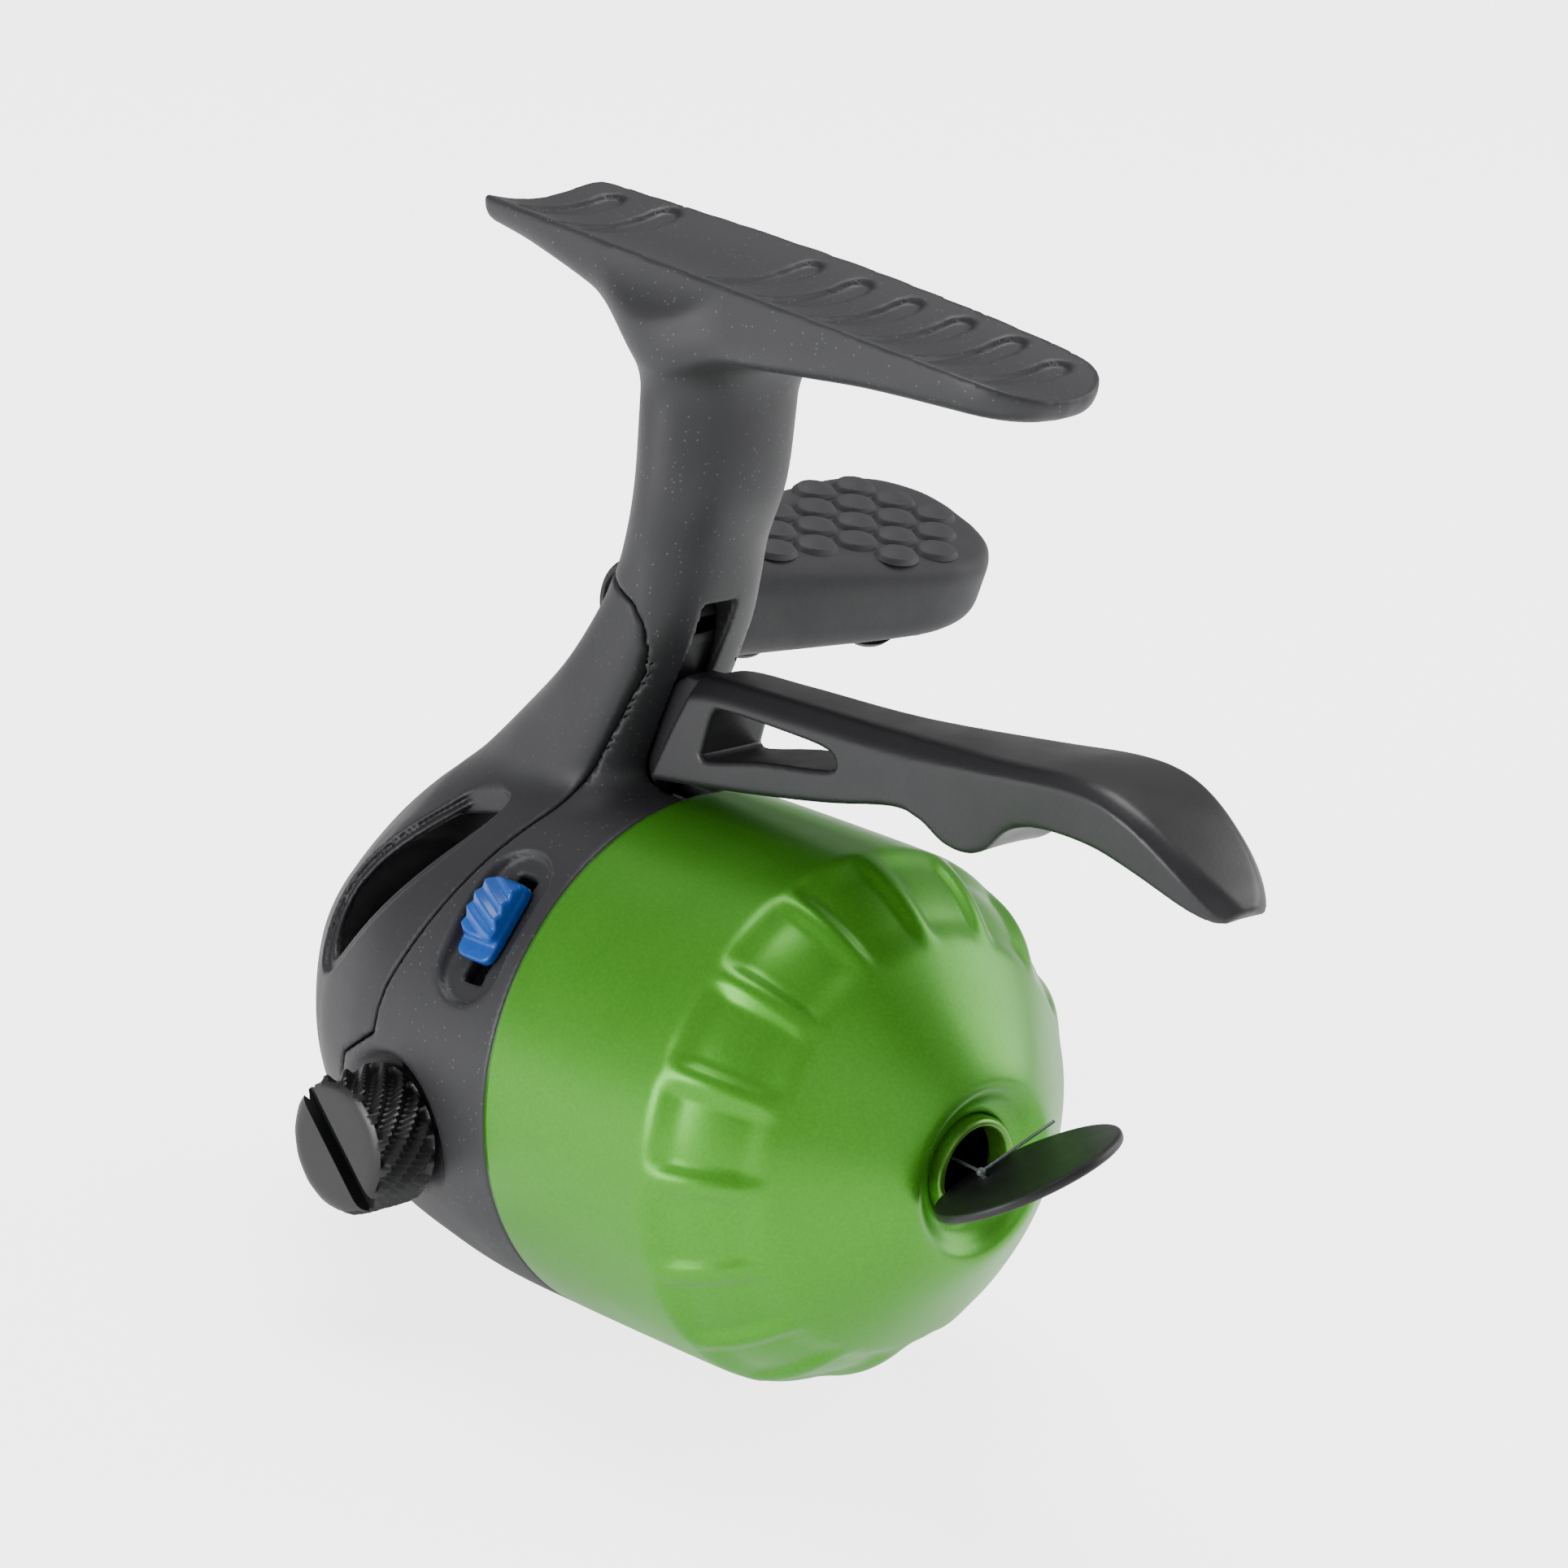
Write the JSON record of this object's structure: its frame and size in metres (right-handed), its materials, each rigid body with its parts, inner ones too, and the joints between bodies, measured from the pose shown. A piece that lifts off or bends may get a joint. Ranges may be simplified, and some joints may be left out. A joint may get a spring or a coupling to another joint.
{
  "type": "spincast reel",
  "caption": "Underslung spincast fishing reel with a closed cone, a finger trigger, a side crank with a paddle knob and a rod foot.",
  "frame": {"origin": "middle of the foot's hollow seat, on its lowest line", "axes": "+X along the rod towards its tip, +Y towards the crank side, +Z from the foot into the rod"},
  "size_m": [0.1131, 0.1031, 0.1002],
  "materials": {
    "moulded_frame": "charcoal graphite-filled nylon with a fine fleck, matt",
    "moulded_cover": "charcoal graphite-filled nylon, matt",
    "green_anodised": "satin lime-green anodised aluminium",
    "nose_trim": "bright rolled edge",
    "black_nylon": "black moulded nylon",
    "soft_grip": "soft-touch rubber, matt",
    "blue_switch": "bright blue moulded acetal",
    "keeper_black": "thin black sheet plastic",
    "line_clear": "clear nylon monofilament",
    "steel": "turned steel",
    "spring_steel": "spring steel wire and strip",
    "cast_deck": "die-cast alloy",
    "spun_head": "pressed and polished alloy",
    "gear_brass": "machined brass",
    "bushing_bronze": "sintered bronze",
    "felt": "pressed felt"
  },
  "bodies": {
    "frame": {"body_frame": "moulded_frame", "rear_cover": "moulded_cover", "cover_screws": "steel", "deck_plate": "cast_deck", "deck_screws": "steel", "front_cone": "green_anodised", "nose_ring": "nose_trim", "trigger_pin": "steel", "guide_pin": "steel", "plunger_spring": "spring_steel", "crank_bushing_left": "bushing_bronze", "crank_bushing_right": "bushing_bronze", "drag_washer": "felt", "spool_clip": "spring_steel", "pawl_pin": "steel", "line_keeper": "keeper_black", "line_lead": "line_clear"},
    "trigger": {"trigger_lever": "black_nylon"},
    "plunger": {"thrust_yoke": "black_nylon"},
    "rotor": {"centre_shaft": "steel", "spinner_head": "spun_head", "head_nut": "steel"},
    "pickup": {"pickup_pin": "steel"},
    "pinion": {"pinion_gear": "gear_brass"},
    "spool": {"spool": "black_nylon", "wound_line": "line_clear"},
    "crank": {"crank_shaft": "steel", "drive_gear": "gear_brass", "ratchet_wheel": "steel", "crank_arm": "black_nylon", "arm_screw": "steel", "side_cap": "black_nylon", "knob_axle": "steel"},
    "knob": {"knob_core": "black_nylon", "knob_grip": "soft_grip"},
    "alert": {"alert_slider": "blue_switch", "click_tongue": "spring_steel"},
    "pawl": {"reverse_pawl": "steel"}
  },
  "joints": [
    {"name": "trigger_pull", "type": "hinge", "parent": "frame", "child": "trigger", "pos_m": [-0.01084, 0, -0.04419], "axis": [0, -1, 0], "range_deg": [0, 14], "stiffness_Nm_per_rad": 0.02, "springref_deg": -14.32},
    {"name": "plunger_slide", "type": "slide", "parent": "frame", "child": "plunger", "axis": [0.9965, 0, 0.0837], "range_m": [0, 0.0027]},
    {"name": "rotor_turn", "type": "hinge", "parent": "plunger", "child": "rotor", "pos_m": [-0.0014, 0, -0.073], "axis": [0.9965, 0, 0.0837], "continuous": true},
    {"name": "pickup_slide", "type": "slide", "parent": "rotor", "child": "pickup", "axis": [-0.0837, 0, 0.9965], "range_m": [0, 0.0016]},
    {"name": "pinion_turn", "type": "hinge", "parent": "frame", "child": "pinion", "pos_m": [-0.0014, 0, -0.073], "axis": [0.9965, 0, 0.0837], "continuous": true},
    {"name": "spool_turn", "type": "hinge", "parent": "frame", "child": "spool", "pos_m": [-0.0014, 0, -0.073], "axis": [0.9965, 0, 0.0837], "continuous": true},
    {"name": "crank_turn", "type": "hinge", "parent": "frame", "child": "crank", "pos_m": [-0.01507, 0, -0.08107], "axis": [0, 1, 0], "continuous": true},
    {"name": "knob_spin", "type": "hinge", "parent": "crank", "child": "knob", "pos_m": [-0.04371, 0.02799, -0.0473], "axis": [0.0203, 0.9995, -0.024], "continuous": true},
    {"name": "alert_slide", "type": "slide", "parent": "frame", "child": "alert", "axis": [0.0668, -0.6018, -0.7958], "range_m": [-0.0016, 0.002]},
    {"name": "pawl_rock", "type": "hinge", "parent": "frame", "child": "pawl", "pos_m": [-0.00912, 0, -0.0898], "axis": [0, -1, 0], "range_deg": [0, 6]}
  ],
  "couplings": [
    {"joint": "plunger_slide", "follows": "trigger_pull", "m_per_rad": 0.010845},
    {"joint": "pickup_slide", "follows": "trigger_pull", "m_per_rad": 0.006139},
    {"joint": "pinion_turn", "follows": "crank_turn", "ratio": -4},
    {"joint": "rotor_turn", "follows": "crank_turn", "ratio": -4}
  ]
}
